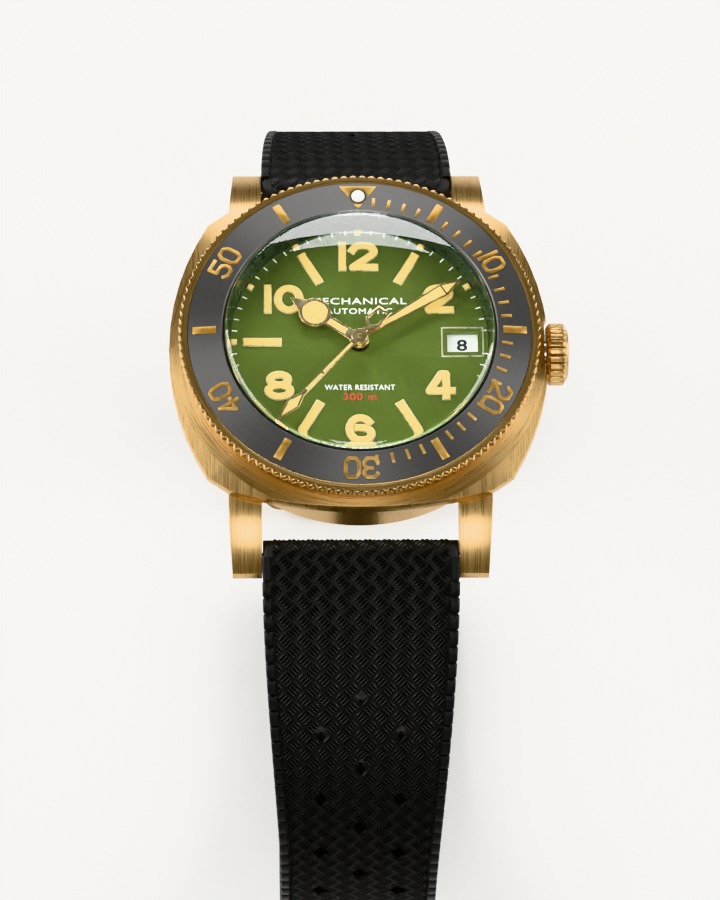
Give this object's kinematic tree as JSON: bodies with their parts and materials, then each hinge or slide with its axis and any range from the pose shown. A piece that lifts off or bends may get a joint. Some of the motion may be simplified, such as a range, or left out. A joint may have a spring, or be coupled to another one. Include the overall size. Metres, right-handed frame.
{
  "type": "dive watch",
  "caption": "Mechanical dive watch with a cushion case, ratchet bezel, crown, automatic date movement and a pin-buckle rubber strap.",
  "frame": {"origin": "centre of the flat rear face of the case back, on the axis of the hands", "axes": "+Z out of the dial, +Y towards 12 o'clock, +X towards the crown at 3 o'clock"},
  "size_m": [0.0409, 0.0885, 0.0818],
  "materials": {
    "bronze": "satin brushed bronze",
    "polished_bronze": "polished",
    "steel": "brushed",
    "brass": "brushed",
    "rubber": "matte black",
    "gasket_rubber": "black",
    "sapphire": "clear polished",
    "ceramic": "brushed dark grey",
    "gold_inlay": "polished",
    "lume": "matte cream",
    "marker_border": "satin off-white",
    "dial_green": "sunburst green lacquer",
    "date_white": "matte white",
    "ruby": "polished synthetic ruby",
    "blued_steel": "heat blued"
  },
  "bodies": {
    "case": {"case_middle": "bronze", "case_back": "steel", "case_back_gasket": "gasket_rubber", "crystal": "sapphire", "crystal_gasket": "gasket_rubber", "rehaut_ring": "ceramic", "bezel_click_spring": "steel", "crown_tube": "steel", "spring_bar_12": "steel", "spring_bar_6": "steel", "dial": "dial_green", "hour_markers": "marker_border", "marker_lume": "lume", "date_jumper": "steel", "movement_ring": "steel", "mainplate": "steel", "train_bridge": "steel", "balance_cock": "steel", "rotor_bearing": "steel", "automatic_bridge": "steel", "bridge_screws": "blued_steel", "jewels": "ruby"},
    "bezel": {"bezel_ring": "bronze", "bezel_insert": "ceramic", "bezel_inlays": "gold_inlay", "pearl_setting": "polished_bronze", "bezel_pearl": "lume", "bezel_snap_ring": "steel"},
    "crown_seal": {"crown_gaskets": "gasket_rubber"},
    "crown": {"crown": "bronze", "winding_stem": "steel"},
    "ratchet": {"ratchet_wheel": "steel"},
    "crown_wheel": {"crown_wheel": "steel"},
    "strap_12": {"strap_buckle_side": "rubber", "fixed_keeper": "rubber"},
    "strap_6": {"strap_hole_side": "rubber"},
    "buckle": {"buckle_frame": "bronze", "buckle_bar": "steel"},
    "tongue": {"buckle_tongue": "bronze"},
    "keeper": {"sliding_keeper": "rubber"},
    "date_ring": {"date_disc": "date_white"},
    "date_wheel": {"date_driving_wheel": "brass"},
    "hours": {"hour_hand": "polished_bronze", "hour_hand_lume": "lume", "hour_wheel": "brass"},
    "minutes": {"minute_hand": "polished_bronze", "minute_hand_lume": "lume", "cannon_pinion": "steel", "center_wheel": "brass"},
    "seconds": {"seconds_hand": "polished_bronze", "seconds_hand_lume": "lume", "fourth_wheel": "brass"},
    "motion_wheel": {"minute_wheel": "brass"},
    "third": {"third_wheel": "brass"},
    "escape": {"escape_wheel": "steel"},
    "pallets": {"pallet_fork": "steel"},
    "balance": {"balance_wheel": "brass", "hairspring": "blued_steel"},
    "barrel": {"mainspring_barrel": "brass"},
    "rotor": {"rotor": "steel"}
  },
  "joints": [
    {"name": "bezel_turn", "type": "hinge", "parent": "case", "child": "bezel", "pos_m": [0, 0, 0.008], "axis": [0, 0, -1], "continuous": true},
    {"name": "crown_pull", "type": "slide", "parent": "case", "child": "crown_seal", "axis": [1, 0, 0], "range_m": [0, 0.0013]},
    {"name": "crown_turn", "type": "hinge", "parent": "crown_seal", "child": "crown", "pos_m": [0.02, 0, 0.0052], "axis": [1, 0, 0], "continuous": true},
    {"name": "ratchet_turn", "type": "hinge", "parent": "case", "child": "ratchet", "pos_m": [0.00313, 0.00447, 0.00268], "axis": [0, 0, -1], "continuous": true},
    {"name": "crown_wheel_turn", "type": "hinge", "parent": "case", "child": "crown_wheel", "pos_m": [0.00444, -0.00042, 0.00268], "axis": [0, 0, -1], "continuous": true},
    {"name": "strap_12_swing", "type": "hinge", "parent": "case", "child": "strap_12", "pos_m": [0, 0.0214, 0.00175], "axis": [1, 0, 0], "range_deg": [-4, 60]},
    {"name": "strap_6_swing", "type": "hinge", "parent": "case", "child": "strap_6", "pos_m": [0, -0.0214, 0.00175], "axis": [-1, 0, 0], "range_deg": [-4, 60]},
    {"name": "buckle_swing", "type": "hinge", "parent": "strap_12", "child": "buckle", "pos_m": [0, 0.02765, -0.05824], "axis": [1, 0, 0], "range_deg": [-60, 60]},
    {"name": "tongue_swing", "type": "hinge", "parent": "buckle", "child": "tongue", "pos_m": [0, 0.02765, -0.05824], "axis": [1, 0, 0], "range_deg": [0, 50]},
    {"name": "keeper_slide", "type": "slide", "parent": "strap_12", "child": "keeper", "axis": [0, -0.3282, -0.9446], "range_m": [-0.003, 0.003]},
    {"name": "date_turn", "type": "hinge", "parent": "case", "child": "date_ring", "pos_m": [0, 0, 0.00615], "axis": [0, 0, -1], "continuous": true},
    {"name": "date_wheel_turn", "type": "hinge", "parent": "case", "child": "date_wheel", "pos_m": [-0.0033, -0.00472, 0.0054], "axis": [0, 0, -1], "continuous": true},
    {"name": "seconds_turn", "type": "hinge", "parent": "case", "child": "seconds", "pos_m": [0, 0, 0.008], "axis": [0, 0, -1], "continuous": true},
    {"name": "minute_turn", "type": "hinge", "parent": "case", "child": "minutes", "pos_m": [0, 0, 0.007], "axis": [0, 0, -1], "continuous": true},
    {"name": "hour_turn", "type": "hinge", "parent": "case", "child": "hours", "pos_m": [0, 0, 0.0065], "axis": [0, 0, -1], "continuous": true},
    {"name": "motion_wheel_turn", "type": "hinge", "parent": "case", "child": "motion_wheel", "pos_m": [-0.00042, 0.00236, 0.0053], "axis": [0, 0, -1], "continuous": true},
    {"name": "third_turn", "type": "hinge", "parent": "case", "child": "third", "pos_m": [-0.00359, -0.00131, 0.0038], "axis": [0, 0, -1], "continuous": true},
    {"name": "escape_turn", "type": "hinge", "parent": "case", "child": "escape", "pos_m": [-0.00044, -0.00315, 0.004], "axis": [0, 0, -1], "continuous": true},
    {"name": "barrel_turn", "type": "hinge", "parent": "case", "child": "barrel", "pos_m": [0.00313, 0.00447, 0.0038], "axis": [0, 0, -1], "continuous": true},
    {"name": "pallet_swing", "type": "hinge", "parent": "case", "child": "pallets", "pos_m": [0.00152, -0.00375, 0.004], "axis": [0, 0, -1], "range_deg": [-5, 5]},
    {"name": "balance_swing", "type": "hinge", "parent": "case", "child": "balance", "pos_m": [0.0055, -0.00495, 0.0036], "axis": [0, 0, -1], "range_deg": [-270, 270], "stiffness_Nm_per_rad": 0.0000002},
    {"name": "rotor_turn", "type": "hinge", "parent": "case", "child": "rotor", "pos_m": [0, 0, 0.0017], "axis": [0, 0, 1], "continuous": true}
  ],
  "couplings": [
    {"joint": "minute_turn", "follows": "seconds_turn", "ratio": 0.016667},
    {"joint": "hour_turn", "follows": "seconds_turn", "ratio": 0.0013889},
    {"joint": "motion_wheel_turn", "follows": "seconds_turn", "ratio": -0.0055556},
    {"joint": "third_turn", "follows": "seconds_turn", "ratio": -0.13333},
    {"joint": "escape_turn", "follows": "seconds_turn", "ratio": -12},
    {"joint": "barrel_turn", "follows": "seconds_turn", "ratio": -0.0027778},
    {"joint": "date_wheel_turn", "follows": "seconds_turn", "ratio": -0.00069444},
    {"joint": "crown_wheel_turn", "follows": "ratchet_turn", "ratio": -2}
  ]
}
